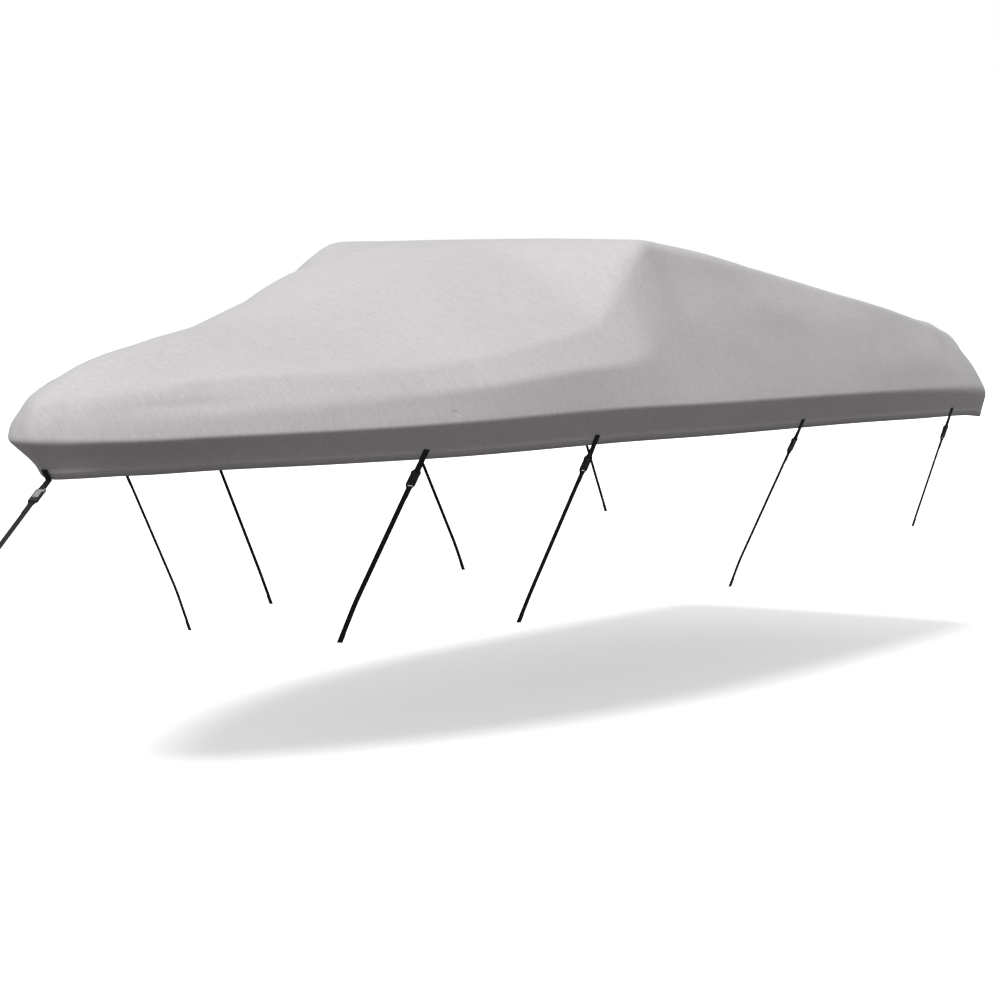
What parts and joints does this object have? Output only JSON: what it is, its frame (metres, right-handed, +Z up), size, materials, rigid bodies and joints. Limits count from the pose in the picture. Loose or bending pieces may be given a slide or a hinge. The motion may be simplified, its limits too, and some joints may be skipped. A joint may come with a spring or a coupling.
{
  "type": "fitted boat cover with webbing tie-downs",
  "caption": "Fitted boat cover of coated cloth, raised at the windshield and hollow below, with a skirt turned in under the rim and buckled webbing straps.",
  "frame": {"origin": "underside of the cloth at the middle of its highest line, where the boat's windshield would hold it up", "axes": "+X towards the stern, along the cover's length; +Y to starboard; +Z up"},
  "size_m": [5.949, 2.0896, 1.4617],
  "materials": {
    "cloth": "light grey coated polyester, matt, fine plain weave",
    "webbing": "black woven webbing, 25 mm wide",
    "buckle": "black moulded plastic, satin"
  },
  "bodies": {
    "root": {"cover": "cloth", "tab_port_1": "webbing", "socket_port_1": "buckle", "plug_port_1": "buckle", "strap_port_1": "webbing", "tab_port_2": "webbing", "socket_port_2": "buckle", "plug_port_2": "buckle", "strap_port_2": "webbing", "tab_port_3": "webbing", "socket_port_3": "buckle", "plug_port_3": "buckle", "strap_port_3": "webbing", "tab_port_4": "webbing", "socket_port_4": "buckle", "plug_port_4": "buckle", "strap_port_4": "webbing", "tab_star_1": "webbing", "socket_star_1": "buckle", "plug_star_1": "buckle", "strap_star_1": "webbing", "tab_star_2": "webbing", "socket_star_2": "buckle", "plug_star_2": "buckle", "strap_star_2": "webbing", "tab_star_3": "webbing", "socket_star_3": "buckle", "plug_star_3": "buckle", "strap_star_3": "webbing", "tab_star_4": "webbing", "socket_star_4": "buckle", "plug_star_4": "buckle", "strap_star_4": "webbing", "tab_bow": "webbing", "socket_bow": "buckle", "plug_bow": "buckle", "strap_bow": "webbing"}
  },
  "joints": []
}
